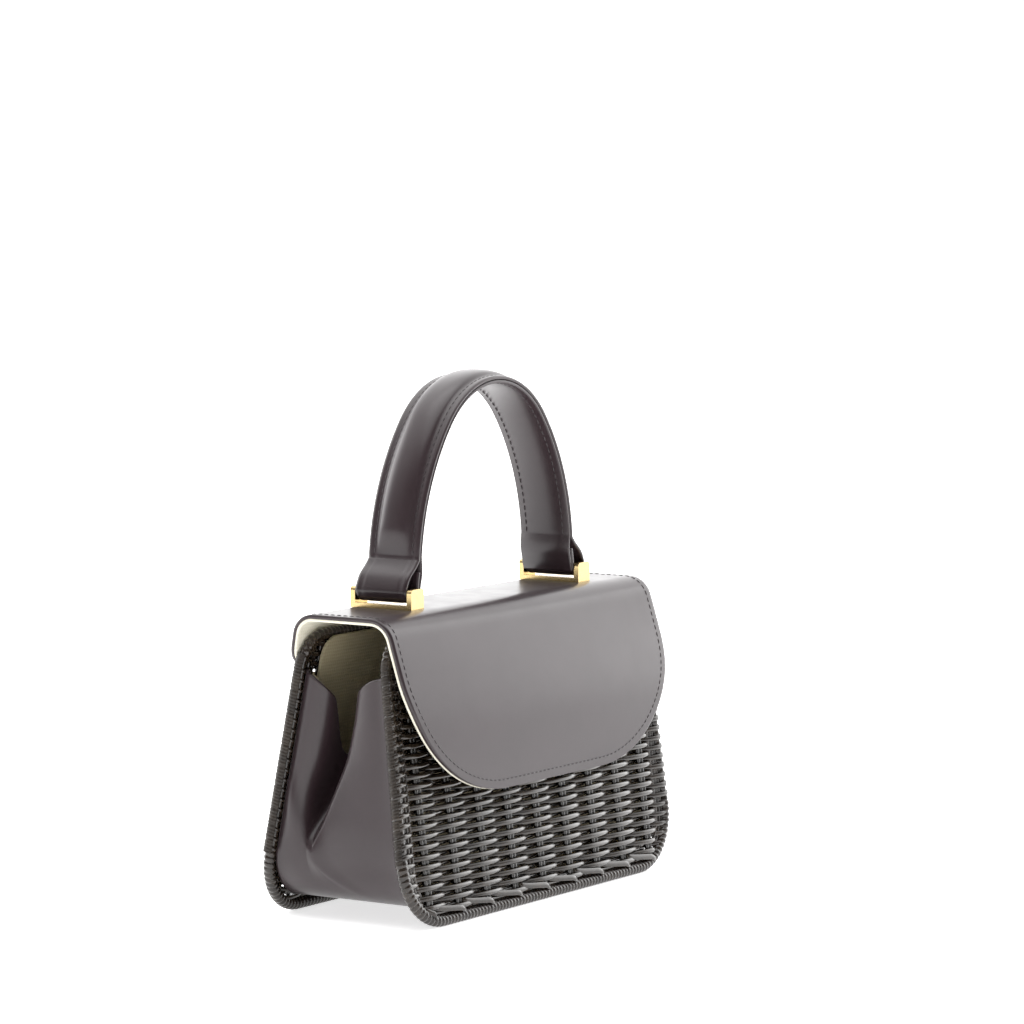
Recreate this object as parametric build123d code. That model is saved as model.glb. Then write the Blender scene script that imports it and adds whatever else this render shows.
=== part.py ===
"""Small basket handbag: two wicker panels on a leather gusset, with a leather flap and an arched handle.

Units are millimetres. X runs across the bag, Y from front (-Y) to back, Z up. The bottom rods of
the two wicker panels stand on Z = 0, and X = 0 is the middle of the bag.
"""
from build123d import *
from math import cos, radians, sin, tan
import os

# ---- wicker panels --------------------------------------------------------------------------
PANEL_HEIGHT = 115.0          # over the rims, measured straight up
PANEL_BOTTOM_HALF = 98.5      # middle of the bag to the rim's centre line, at the bottom
PANEL_SIDE_TAPER = 4.7        # how much narrower each half is at the top
BOTTOM_CORNER = 24.0          # radius of the rim's centre line in the lower corners
TOP_CORNER = 12.0
BOTTOM_DEPTH = 70.0           # between the centre lines of the two bottom rods
FRONT_LEAN = 7.0              # degrees each panel leans in from upright
BACK_LEAN = 10.0
RIM_ROD_RADIUS = 1.7
RIM_WRAP = 0.75               # thickness of the cane wound round the rim rod
WRAP_GAP = 0.05
REST_FLAT = 0.15              # how far the winding is pressed flat where the bag stands
WEAVE_THICKNESS = 5.0
WEAVE_GAP = 0.2               # between the weave's edge and the rim's winding
STAKE_RADIUS = 0.9
STAKE_PAIR_GAP = 0.4          # between the two stakes of a pair
STAKE_GAP = 0.05              # round each stake in its channel
STAKE_PAIRS = 9
STAKE_TO_RIM = 16.5           # from the outermost pair to the rim's centre line, at the bottom

# ---- inside of the bag ----------------------------------------------------------------------
LINING_BOARD = 1.2
LINING_BOARD_INSET = 8.0      # from the rim's centre line to the board's edge
LINING_BOARD_CORNER = 9.0
LINING_BOARD_TOP_DROP = 2.5   # below the panel's top
SEAT_GAP = 0.1                # between layers that are glued or sewn flat together
FACE_GAP = 0.04               # between faces pressed hard together

# ---- gusset and base ------------------------------------------------------------------------
GUSSET_LEATHER = 1.6
GUSSET_BOTTOM = 6.5           # underside of the base above the ground
GUSSET_SET_IN = 2.0           # its outer face inside the rim's centre line
GUSSET_CORNER = 22.0
GUSSET_BELOW_RIM = 15.0       # its upper edge below the panels' top
FOLD_START = 32.0             # height where the inward fold begins
FOLD_DEPTH = 24.0             # how far the fold reaches in at its top
GUSSET_LINING = 0.6
BASE_BOARD = 1.5

# ---- flap -----------------------------------------------------------------------------------
FLAP_OVERHANG = 2.2           # its side edges past the rims' centre line at the top
FLAP_OVER_RIM = 4.4           # its lining above the rims
FLAP_LEATHER = 1.6
FLAP_LINING = 0.8
FLAP_DROP = 75.3              # from its top down to its lower edge
FLAP_STRAIGHT = 21.8          # from its top down to where its sides begin to curve
FLAP_CURVE_WIDTH = 61.0       # how far the curve runs in from the side edge
FLAP_SHOULDER_OUT = 0.5       # where top and front would meet, before rounding, past the rim
FLAP_BREAK_DROP = 37.8        # from its top down to where it turns parallel to the panel
FLAP_BACK_RADIUS = 9.0
FLAP_SHOULDER_RADIUS = 11.0
FLAP_BREAK_RADIUS = 90.0
FLAP_BACK_LAP = 14.0          # how far it laps down the back panel
FLAP_BACK_CORNER = 8.0
FLAP_TO_BACK_GAP = 0.3
HINGE_DROP = 9.8              # from its top down to where the leather bends when it opens
HINGE_GAP = 0.3

# ---- magnetic snap --------------------------------------------------------------------------
SNAP_RADIUS = 9.0
SNAP_ABOVE_TIP = 14.7         # along the panel, from the flap's lower edge
SNAP_SOCKET = 3.0
SNAP_STUD = 2.8
SNAP_GAP = 0.2

# ---- handle ---------------------------------------------------------------------------------
HANDLE_Y = -0.5               # middle of the strap
STRAP_WIDTH = 24.0
OUTER_STRAP = 1.6
INNER_STRAP = 1.4
STRAP_GAP = 0.1
CORE_WIDTH = 12.0
CORE_HEIGHT = 2.4
CORE_COVER = 1.5              # leather over the core
CROWN_RADIUS = 46.0           # outer face, over the crown
CROWN_SPREAD = 50.0           # degrees each side of the crown
FLANK_RADIUS = 95.0
FLANK_END = 85.0              # degrees from the crown where the legs run straight
LEG_STRAIGHT = 0.8            # straight stretch under the flank, above the loop
LOOP_HEIGHT = 16.65           # from the loop's underside to where the strap's layers part
LOOP_LEATHER = 1.5
LOOP_OVER_BASE = 0.5          # loop's underside above the bracket's base
LOOP_RADIUS = 4.95            # outer face of the loops
LOOP_OUTSET = 4.3             # middle of the loop outside the leg's outer face

# ---- brackets -------------------------------------------------------------------------------
BRACKET_WIDTH = 8.8
BRACKET_BASE = 2.0
CHEEK_THICKNESS = 2.2
CHEEK_HEIGHT = 8.4
CHEEK_EDGE = 1.5              # radius of the cheeks' upper corners
CHEEK_TO_STRAP = 0.4
BAR_RADIUS = 1.8
BAR_IN_LOOP = 0.2             # under the bar, where it bears in the loop
BAR_SEAT = 1.4                # how deep the bar sits in each cheek
PIN_GAP = 0.05
SCREW_RADIUS = 1.2
SCREW_HEAD_RADIUS = 2.0
SCREW_HEAD = 0.8
SCREW_IN_BASE = 1.5
SCREW_OFFSET = 8.0            # each side of the strap's middle
PLATE_THICKNESS = 1.0
PLATE_WIDTH = 8.0
PLATE_LENGTH = 24.0

# ---- heights and places that follow from the values above ------------------------------------
RIM_RADIUS = RIM_ROD_RADIUS + WRAP_GAP + RIM_WRAP
FOOT_HEIGHT = RIM_RADIUS - REST_FLAT
HALF_DEPTH = BOTTOM_DEPTH / 2
PANEL_TOP_HALF = PANEL_BOTTOM_HALF - PANEL_SIDE_TAPER
SIDE_SLOPE = PANEL_SIDE_TAPER / (PANEL_HEIGHT - RIM_RADIUS - FOOT_HEIGHT)
STAKE_SPACING = 2 * (PANEL_BOTTOM_HALF - STAKE_TO_RIM) / (STAKE_PAIRS - 1)
GUSSET_TOP = PANEL_HEIGHT - GUSSET_BELOW_RIM
FLAP_THICKNESS = FLAP_LEATHER + FLAP_LINING
FLAP_HALF_WIDTH = PANEL_TOP_HALF + FLAP_OVERHANG
FLAP_TOP = PANEL_HEIGHT + FLAP_OVER_RIM + FLAP_THICKNESS
FLAP_TIP = FLAP_TOP - FLAP_DROP
FLAP_SIDE_END = FLAP_TOP - FLAP_STRAIGHT
FLAP_TIP_HALF = FLAP_HALF_WIDTH - FLAP_CURVE_WIDTH
FLAP_BREAK = FLAP_TOP - FLAP_BREAK_DROP
FLAP_BACK_EDGE = PANEL_HEIGHT - FLAP_BACK_LAP
HINGE_HEIGHT = FLAP_TOP - HINGE_DROP
BRACKET_SEAT = FLAP_TOP + FACE_GAP
LOOP_BOTTOM = BRACKET_SEAT + BRACKET_BASE + LOOP_OVER_BASE
LOOP_START = LOOP_BOTTOM + LOOP_HEIGHT

nodes = {}


# ---- panels, modelled upright with their outer face towards -Y, then leaned into place -------
def panel_length(lean):
    """Length of a panel between the centre lines of its bottom and top rods."""
    return (PANEL_HEIGHT - RIM_RADIUS - FOOT_HEIGHT) / cos(radians(lean))


def stand_front(shape):
    return Pos(0, -HALF_DEPTH, FOOT_HEIGHT) * Rot(X=-FRONT_LEAN) * shape


def stand_back(shape):
    return Pos(0, HALF_DEPTH, FOOT_HEIGHT) * Rot(X=BACK_LEAN) * Rot(Z=180) * shape


def panel_outline(length, inset, bottom_radius, top_radius):
    """The rim's centre line moved inwards by inset, as a face in the XZ plane."""
    corners = [
        (-(PANEL_BOTTOM_HALF - inset), inset),
        (PANEL_BOTTOM_HALF - inset, inset),
        (PANEL_TOP_HALF - inset, length - inset),
        (-(PANEL_TOP_HALF - inset), length - inset),
    ]
    face = make_face(Plane.XZ * Polyline(*corners, close=True))
    low = face.vertices().sort_by(Axis.Z)[:2]
    face = fillet(low, bottom_radius)
    high = face.vertices().sort_by(Axis.Z)[-2:]
    return fillet(high, top_radius)


def ring(length, outer, inner=0.0):
    """A closed rim of round section, solid or with a bore."""
    path = panel_outline(length, 0, BOTTOM_CORNER, TOP_CORNER).face().outer_wire()
    start = Plane(path @ 0, z_dir=path % 0)
    section = start * Circle(outer)
    if inner:
        section -= start * Circle(inner)
    return sweep(section, path=path)


def stake_places():
    """X of every single stake, in pairs."""
    places = []
    half_pair = STAKE_RADIUS + STAKE_PAIR_GAP / 2
    for pair in range(STAKE_PAIRS):
        middle = (pair - (STAKE_PAIRS - 1) / 2) * STAKE_SPACING
        places += [middle - half_pair, middle + half_pair]
    return places


def build_panel(side, stand, lean):
    length = panel_length(lean)
    nodes[side + "_rim_rod"] = stand(ring(length, RIM_ROD_RADIUS))
    winding = stand(ring(length, RIM_RADIUS, RIM_ROD_RADIUS + WRAP_GAP))
    ground = Box(400, 400, RIM_RADIUS, align=(Align.CENTER, Align.CENTER, Align.MAX))
    nodes[side + "_rim_winding"] = winding - ground

    edge = RIM_RADIUS + WEAVE_GAP
    outline = panel_outline(length, edge, BOTTOM_CORNER - edge, TOP_CORNER - edge)
    filled = extrude(outline, WEAVE_THICKNESS / 2, both=True)
    weave = filled
    stakes = []
    for x in stake_places():
        base = Pos(x, 0, length / 2)
        stakes.append(base * Cylinder(STAKE_RADIUS, length) & filled)
        weave -= base * Cylinder(STAKE_RADIUS + STAKE_GAP, length)
    nodes[side + "_stakes"] = Compound(children=[stand(stake) for stake in stakes])
    nodes[side + "_weave"] = stand(weave)

    inset = LINING_BOARD_INSET
    board = panel_outline(length, inset, BOTTOM_CORNER - inset, LINING_BOARD_CORNER)
    board_bottom = GUSSET_BOTTOM + GUSSET_LEATHER + BASE_BOARD + GUSSET_LINING + 4 * SEAT_GAP
    lowest = board_bottom - FOOT_HEIGHT + LINING_BOARD
    highest = length + RIM_RADIUS - LINING_BOARD_TOP_DROP
    board = Pos(0, 0, highest - (length - inset)) * board
    board = extrude(board, LINING_BOARD)
    inner_face = WEAVE_THICKNESS / 2 + SEAT_GAP
    board = Pos(0, inner_face - board.bounding_box().min.Y, 0) * board
    board &= Pos(0, 0, lowest) * Box(
        2 * PANEL_BOTTOM_HALF, 20, length, align=(Align.CENTER, Align.CENTER, Align.MIN)
    )
    return stand(board)


front_board = build_panel("front", stand_front, FRONT_LEAN)
back_board = build_panel("back", stand_back, BACK_LEAN)
nodes["front_lining_board"] = front_board
nodes["back_lining_board"] = back_board


# ---- leather gusset: one strip down one side, under the bag and up the other -----------------
def panel_inner_y(z, clear):
    """Y of the front and the back panel's inner face at a height, less a clearance."""
    off = WEAVE_THICKNESS / 2 + clear
    front = -HALF_DEPTH + (z - FOOT_HEIGHT) * tan(radians(FRONT_LEAN)) + off / cos(radians(FRONT_LEAN))
    back = HALF_DEPTH - (z - FOOT_HEIGHT) * tan(radians(BACK_LEAN)) - off / cos(radians(BACK_LEAN))
    return front, back


def side_x(z, inward):
    """Half-width of the gusset's outer face at a height, less a depth into its wall."""
    return PANEL_BOTTOM_HALF - SIDE_SLOPE * (z - FOOT_HEIGHT) - GUSSET_SET_IN - inward


def between_panels(clear):
    """The space between the two panels up to the gusset's top, as a solid to keep."""
    low_front, low_back = panel_inner_y(0, clear)
    top_front, top_back = panel_inner_y(GUSSET_TOP, clear)
    wedge = Polyline(
        (low_front, 0), (low_back, 0), (top_back, GUSSET_TOP), (top_front, GUSSET_TOP), close=True
    )
    return extrude(make_face(Plane.YZ * wedge), 2 * PANEL_BOTTOM_HALF, both=True)


def base_strip(inward, thickness):
    """The plain U-shaped stretch, from the fold's start down and under the bag."""
    top = FOLD_START
    faces = []
    for depth in (inward, inward + thickness):
        low = GUSSET_BOTTOM + depth
        points = [
            (-side_x(top, depth), top),
            (-side_x(low, depth), low),
            (side_x(low, depth), low),
            (side_x(top, depth), top),
        ]
        face = make_face(Plane.XZ * Polyline(*points, close=True))
        faces.append(fillet(face.vertices().sort_by(Axis.Z)[:2], GUSSET_CORNER - depth))
    return extrude(faces[0] - faces[1], BOTTOM_DEPTH, both=True)


def folded_side(inward, thickness, hand):
    """One folded side wall above the strip, from flat at its foot to a deep V at its top."""
    sections = []
    for z, fold in ((FOLD_START, 0.0), (GUSSET_TOP, FOLD_DEPTH)):
        front, back = panel_inner_y(z, 0)
        middle = (front + back) / 2
        outer = side_x(z, inward)
        inner = outer - thickness
        points = [
            (hand * outer, front, z),
            (hand * (outer - fold), middle, z),
            (hand * outer, back, z),
            (hand * inner, back, z),
            (hand * (inner - fold), middle, z),
            (hand * inner, front, z),
        ]
        sections.append(make_face(Polyline(*points, close=True)))
    return loft(sections, ruled=True)


def gusset(inward, thickness, clear):
    whole = base_strip(inward, thickness)
    for hand in (-1, 1):
        whole += folded_side(inward, thickness, hand)
    return whole & between_panels(clear)


board_depth = GUSSET_LEATHER + SEAT_GAP
lining_depth = board_depth + BASE_BOARD + SEAT_GAP
board_clear = LINING_BOARD + 3 * SEAT_GAP
nodes["gusset"] = gusset(0, GUSSET_LEATHER, SEAT_GAP)
nodes["gusset_lining"] = gusset(lining_depth, GUSSET_LINING, board_clear)

base_front, base_back = panel_inner_y(GUSSET_BOTTOM + board_depth + BASE_BOARD, board_clear)
base_half = side_x(GUSSET_BOTTOM, 0) - GUSSET_CORNER
nodes["base_board"] = Pos(0, (base_front + base_back) / 2, GUSSET_BOTTOM + board_depth) * Box(
    2 * base_half, base_back - base_front, BASE_BOARD, align=(Align.CENTER, Align.CENTER, Align.MIN)
)


# ---- flap: a strip sewn to the back panel, the flat top and the tongue down the front --------
def front_surface_y(z, off):
    """Y of a plane parallel to the front panel, off outwards from the panel's middle."""
    return -HALF_DEPTH + (z - FOOT_HEIGHT) * tan(radians(FRONT_LEAN)) - off / cos(radians(FRONT_LEAN))


def back_surface_y(z, off):
    return HALF_DEPTH - (z - FOOT_HEIGHT) * tan(radians(BACK_LEAN)) + off / cos(radians(BACK_LEAN))


flap_front_off = WEAVE_THICKNESS / 2 + SNAP_SOCKET + SNAP_GAP + SNAP_STUD + FLAP_THICKNESS + SEAT_GAP
flap_back_off = WEAVE_THICKNESS / 2 + FLAP_TO_BACK_GAP + FLAP_THICKNESS
shoulder_y = front_surface_y(PANEL_HEIGHT, RIM_RADIUS) - FLAP_SHOULDER_OUT
flap_line = [
    (back_surface_y(FLAP_BACK_EDGE, flap_back_off), FLAP_BACK_EDGE),
    (back_surface_y(FLAP_TOP, flap_back_off), FLAP_TOP),
    (shoulder_y, FLAP_TOP),
    (front_surface_y(FLAP_BREAK, flap_front_off), FLAP_BREAK),
    (front_surface_y(FLAP_TIP, flap_front_off), FLAP_TIP),
]
flap_radii = [FLAP_BACK_RADIUS, FLAP_SHOULDER_RADIUS, FLAP_BREAK_RADIUS]


def inner_line(line, depth):
    """An open line moved inwards, to its left, by depth, with mitred corners."""
    points = [Vector(*point) for point in line]
    normals = []
    for a, b in zip(points, points[1:]):
        along = (b - a).normalized()
        normals.append(Vector(-along.Y, along.X))
    moved = [points[0] + normals[0] * depth]
    for corner, before, after in zip(points[1:], normals, normals[1:]):
        moved.append(corner + (before + after) * (depth / (1 + before.dot(after))))
    moved.append(points[-1] + normals[-1] * depth)
    return [(point.X, point.Y) for point in moved]


def flap_layer(outer_depth, inner_depth):
    """A sheet of the flap between two depths under its outer face, across the whole width."""
    edges = []
    for depth in (outer_depth, inner_depth):
        radii = [radius - depth for radius in flap_radii]
        edges.append(FilletPolyline(*inner_line(flap_line, depth), radius=radii))
    sides = [Line(edges[0] @ 0, edges[1] @ 0), Line(edges[0] @ 1, edges[1] @ 1)]
    profile = make_face([Plane.YZ * edge for line in edges + sides for edge in line.edges()])
    return extrude(profile, FLAP_HALF_WIDTH, both=True)


def flap_cutter():
    """Front view of the tongue and back view of the sewn strip, as one solid to keep."""
    above = FLAP_TOP + 10
    half = FLAP_HALF_WIDTH
    curve_width = half - FLAP_TIP_HALF
    curve_height = FLAP_SIDE_END - FLAP_TIP
    tongue = Rectangle(2 * half, above - FLAP_SIDE_END, align=(Align.CENTER, Align.MIN))
    tongue = Pos(0, FLAP_SIDE_END) * tongue
    middle = Rectangle(2 * FLAP_TIP_HALF, above - FLAP_TIP, align=(Align.CENTER, Align.MIN))
    tongue += Pos(0, FLAP_TIP) * middle
    for hand in (-1, 1):
        tongue += Pos(hand * FLAP_TIP_HALF, FLAP_SIDE_END) * Ellipse(curve_width, curve_height)
    tongue = extrude(Plane.XZ * tongue, BOTTOM_DEPTH)
    strip = Rectangle(2 * half, above - FLAP_BACK_EDGE, align=(Align.CENTER, Align.MIN))
    strip = Pos(0, FLAP_BACK_EDGE) * strip
    strip = fillet(strip.vertices().sort_by(Axis.Y)[:2], FLAP_BACK_CORNER)
    strip = extrude(Plane.XZ * strip, -BOTTOM_DEPTH)
    return tongue + strip


def level_box(low, high):
    """Everything between two heights."""
    return Pos(0, 0, low) * Box(400, 400, high - low, align=(Align.CENTER, Align.CENTER, Align.MIN))


def behind_below(height):
    """Everything in the back half of the bag up to a height."""
    return Box(400, 200, height, align=(Align.CENTER, Align.MIN, Align.MIN))


flap_shape = flap_cutter()
for name, outer_depth, inner_depth in (
    ("leather", 0.0, FLAP_LEATHER),
    ("lining", FLAP_LEATHER + FACE_GAP, FLAP_THICKNESS),
):
    layer = flap_layer(outer_depth, inner_depth) & flap_shape
    nodes["flap_back_" + name] = layer & behind_below(HINGE_HEIGHT - HINGE_GAP / 2)
    nodes["flap_" + name] = layer - behind_below(HINGE_HEIGHT + HINGE_GAP / 2)


# ---- magnetic snap between the flap and the front panel --------------------------------------
def snap_disc(radius, thickness, off):
    """A disc square to the front panel, its inner face off outwards from the panel's middle."""
    disc = Rot(X=90) * Cylinder(radius, thickness, align=(Align.CENTER, Align.CENTER, Align.MIN))
    return stand_front(Pos(0, -off, snap_height) * disc)


snap_height = (FLAP_TIP - FOOT_HEIGHT) / cos(radians(FRONT_LEAN)) + SNAP_ABOVE_TIP
socket_off = WEAVE_THICKNESS / 2
nodes["snap_socket"] = snap_disc(SNAP_RADIUS, SNAP_SOCKET - SEAT_GAP, socket_off + SEAT_GAP)
nodes["snap_stud"] = snap_disc(SNAP_RADIUS, SNAP_STUD, socket_off + SNAP_SOCKET + SNAP_GAP)


# ---- handle: outer strap with its end loops, inner strap and core ----------------------------
hip_z = LOOP_START + LEG_STRAIGHT
flank_drop = FLANK_RADIUS * (cos(radians(CROWN_SPREAD)) - cos(radians(FLANK_END)))
arch_centre_z = hip_z + flank_drop - CROWN_RADIUS * cos(radians(CROWN_SPREAD))
ARCH_TOP = arch_centre_z + CROWN_RADIUS


def arch_leg_line(depth):
    """Right half of the arch from the crown to where the layers part, as points and tangents."""
    crown = CROWN_RADIUS - depth
    flank = FLANK_RADIUS - depth
    spread = radians(CROWN_SPREAD)
    end = radians(FLANK_END)
    flank_x = (CROWN_RADIUS - FLANK_RADIUS) * sin(spread)
    flank_z = arch_centre_z + (CROWN_RADIUS - FLANK_RADIUS) * cos(spread)
    shoulder = (crown * sin(spread), arch_centre_z + crown * cos(spread))
    middle = (spread + end) / 2
    flank_middle = (flank_x + flank * sin(middle), flank_z + flank * cos(middle))
    hip = (flank_x + flank * sin(end), flank_z + flank * cos(end))
    foot = (hip[0] + (hip[1] - LOOP_START) / tan(end), LOOP_START)
    return (0, arch_centre_z + crown), shoulder, flank_middle, hip, foot


def arch_edge(depth):
    """The whole arch, foot to foot, at a depth under the outer strap's outer face."""
    top, shoulder, flank_middle, hip, foot = arch_leg_line(depth)
    other = [(-x, z) for x, z in (shoulder, flank_middle, hip, foot)]
    return [
        Line(other[3], other[2]),
        ThreePointArc(other[2], other[1], other[0]),
        ThreePointArc(other[0], top, shoulder),
        ThreePointArc(shoulder, flank_middle, hip),
        Line(hip, foot),
    ]


def arch_band(outer_depth, inner_depth, width):
    outer = arch_edge(outer_depth)
    inner = arch_edge(inner_depth)
    ends = [Line(outer[0] @ 0, inner[0] @ 0), Line(outer[-1] @ 1, inner[-1] @ 1)]
    profile = make_face([Plane.XZ * edge for line in outer + inner + ends for edge in line.edges()])
    return Pos(0, HANDLE_Y, 0) * extrude(profile, width / 2, both=True)


FOOT_X = arch_leg_line(0)[-1][0] + LOOP_OUTSET


def strap_loop(hand):
    """The strap's end: it opens out from the leg, runs under the bar and comes back up."""
    loop_z = LOOP_BOTTOM + LOOP_RADIUS
    outer_foot = arch_leg_line(0)[-1][0]
    inner_foot = arch_leg_line(OUTER_STRAP + STRAP_GAP + INNER_STRAP)[-1][0]
    faces = []
    for depth in (0.0, LOOP_LEATHER):
        radius = LOOP_RADIUS - depth
        narrow = depth * 0.75
        body = make_face(
            Polyline(
                (inner_foot + narrow, LOOP_START - depth),
                (FOOT_X - radius, loop_z),
                (FOOT_X + radius, loop_z),
                (outer_foot - narrow, LOOP_START - depth),
                close=True,
            )
        )
        faces.append(body + Pos(FOOT_X, loop_z) * Circle(radius))
    profile = faces[0] - faces[1]
    loop = extrude(Plane.XZ * profile, STRAP_WIDTH / 2, both=True)
    loop = Pos(0, HANDLE_Y, 0) * loop
    return loop if hand > 0 else mirror(loop, Plane.YZ)


core_top = CORE_HEIGHT + CORE_COVER - OUTER_STRAP
outer_strap = arch_band(0, OUTER_STRAP, STRAP_WIDTH)
outer_strap += arch_band(-core_top, 0, CORE_WIDTH + 2 * CORE_COVER)
outer_strap -= arch_band(OUTER_STRAP - CORE_HEIGHT, OUTER_STRAP, CORE_WIDTH)
for hand in (-1, 1):
    outer_strap += strap_loop(hand)
nodes["handle_outer_strap"] = outer_strap
inner_top = OUTER_STRAP + STRAP_GAP
nodes["handle_inner_strap"] = arch_band(inner_top, inner_top + INNER_STRAP, STRAP_WIDTH) & level_box(
    LOOP_START + STRAP_GAP, ARCH_TOP
)
nodes["handle_core"] = arch_band(
    OUTER_STRAP - CORE_HEIGHT + STRAP_GAP, OUTER_STRAP, CORE_WIDTH - 2 * STRAP_GAP
) & level_box(LOOP_START + STRAP_GAP, ARCH_TOP)


# ---- brackets, bars, screws and the plates they pull up to -----------------------------------
cheek_inner = STRAP_WIDTH / 2 + CHEEK_TO_STRAP
bracket_length = 2 * (cheek_inner + CHEEK_THICKNESS)
bar_z = LOOP_BOTTOM + LOOP_LEATHER + BAR_IN_LOOP + BAR_RADIUS
bar_half = cheek_inner + BAR_SEAT
on_top = (Align.CENTER, Align.CENTER, Align.MIN)
hung = (Align.CENTER, Align.CENTER, Align.MAX)
plate_top = FLAP_TOP - FLAP_LEATHER + PLATE_THICKNESS
pocket = PLATE_THICKNESS + SEAT_GAP / 2

screws = []
for name, x in (("left", -FOOT_X), ("right", FOOT_X)):
    seat = Pos(x, HANDLE_Y, BRACKET_SEAT)
    bracket = Box(BRACKET_WIDTH, bracket_length, CHEEK_HEIGHT, align=on_top)
    bracket -= Pos(0, 0, BRACKET_BASE) * Box(BRACKET_WIDTH, 2 * cheek_inner, CHEEK_HEIGHT, align=on_top)
    corners = bracket.edges().filter_by(Axis.Y).group_by(Axis.Z)[-1]
    bracket = fillet(corners, CHEEK_EDGE)
    bar = Rot(X=90) * Cylinder(BAR_RADIUS, 2 * bar_half)
    bore = Rot(X=90) * Cylinder(BAR_RADIUS + PIN_GAP, 2 * (bar_half + PIN_GAP))
    bracket = seat * bracket - Pos(x, HANDLE_Y, bar_z) * bore

    plate = Pos(x, HANDLE_Y, plate_top) * Box(PLATE_WIDTH, PLATE_LENGTH, PLATE_THICKNESS, align=hung)
    recess = Pos(x, HANDLE_Y, plate_top) * Box(
        PLATE_WIDTH + 2 * SEAT_GAP, PLATE_LENGTH + 2 * SEAT_GAP, pocket, align=hung
    )
    nodes["flap_leather"] -= recess
    for side in (-1, 1):
        spot = Pos(x, HANDLE_Y + side * SCREW_OFFSET, plate_top - PLATE_THICKNESS)
        length = PLATE_THICKNESS + (BRACKET_SEAT - plate_top) + SCREW_IN_BASE
        screw = spot * Cylinder(SCREW_RADIUS, length, align=on_top)
        screw += spot * Cone(SCREW_HEAD_RADIUS, SCREW_RADIUS, SCREW_HEAD, align=on_top)
        hole = spot * Cylinder(SCREW_RADIUS + PIN_GAP, length + PIN_GAP, align=on_top)
        hole += spot * Cone(
            SCREW_HEAD_RADIUS + PIN_GAP, SCREW_RADIUS + PIN_GAP, SCREW_HEAD + PIN_GAP, align=on_top
        )
        plate -= hole
        bracket -= hole
        nodes["flap_leather"] -= hole
        screws.append(screw)
    nodes["bracket_" + name] = bracket
    nodes["bar_" + name] = Pos(x, HANDLE_Y, bar_z) * bar
    nodes["backing_plate_" + name] = plate
nodes["bracket_screws"] = Compound(children=screws)

os.makedirs("parts", exist_ok=True)
for name, shape in nodes.items():
    export_step(shape, f"parts/{name}.step")
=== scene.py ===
from math import atan2, ceil, cos, hypot, pi, radians, sin, sqrt, tau
from random import Random

import bmesh
import bpy
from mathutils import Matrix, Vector


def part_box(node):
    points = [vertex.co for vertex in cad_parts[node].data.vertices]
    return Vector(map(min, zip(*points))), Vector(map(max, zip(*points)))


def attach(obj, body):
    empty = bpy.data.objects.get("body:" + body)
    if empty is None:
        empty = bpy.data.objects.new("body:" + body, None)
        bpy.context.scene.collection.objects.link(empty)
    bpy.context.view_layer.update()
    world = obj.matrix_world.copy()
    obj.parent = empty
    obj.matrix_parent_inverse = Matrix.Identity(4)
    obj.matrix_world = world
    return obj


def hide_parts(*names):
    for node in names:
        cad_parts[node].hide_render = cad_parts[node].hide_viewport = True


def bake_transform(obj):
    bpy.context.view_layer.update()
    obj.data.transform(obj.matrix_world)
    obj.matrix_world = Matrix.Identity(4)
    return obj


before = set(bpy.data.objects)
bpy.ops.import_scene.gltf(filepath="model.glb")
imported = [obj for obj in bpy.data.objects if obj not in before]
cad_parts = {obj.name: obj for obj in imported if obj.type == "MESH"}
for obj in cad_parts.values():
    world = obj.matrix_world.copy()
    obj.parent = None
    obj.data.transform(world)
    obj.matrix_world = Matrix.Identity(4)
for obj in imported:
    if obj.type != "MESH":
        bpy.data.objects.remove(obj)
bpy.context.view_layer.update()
mm = 0.001

# ---- the two cane panels: bound rims ----------------------------------------------------------
# Each panel hangs in a rod bent to a rounded, slightly tapered frame. Split cane is wound round the
# rod, tightly along the foot and the lower corners, and dark lacquer covers all of it.
rim_half_low = 98.5 * mm
rim_taper = 4.7 * mm
rim_outer = 2.5 * mm
rod_radius = 1.75 * mm
low_corner = 24 * mm
high_corner = 12 * mm
rest_flat = 0.15 * mm
winding_thick = 0.75 * mm
side_rib = 0.18 * mm
winding_fade = 4 * mm


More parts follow.
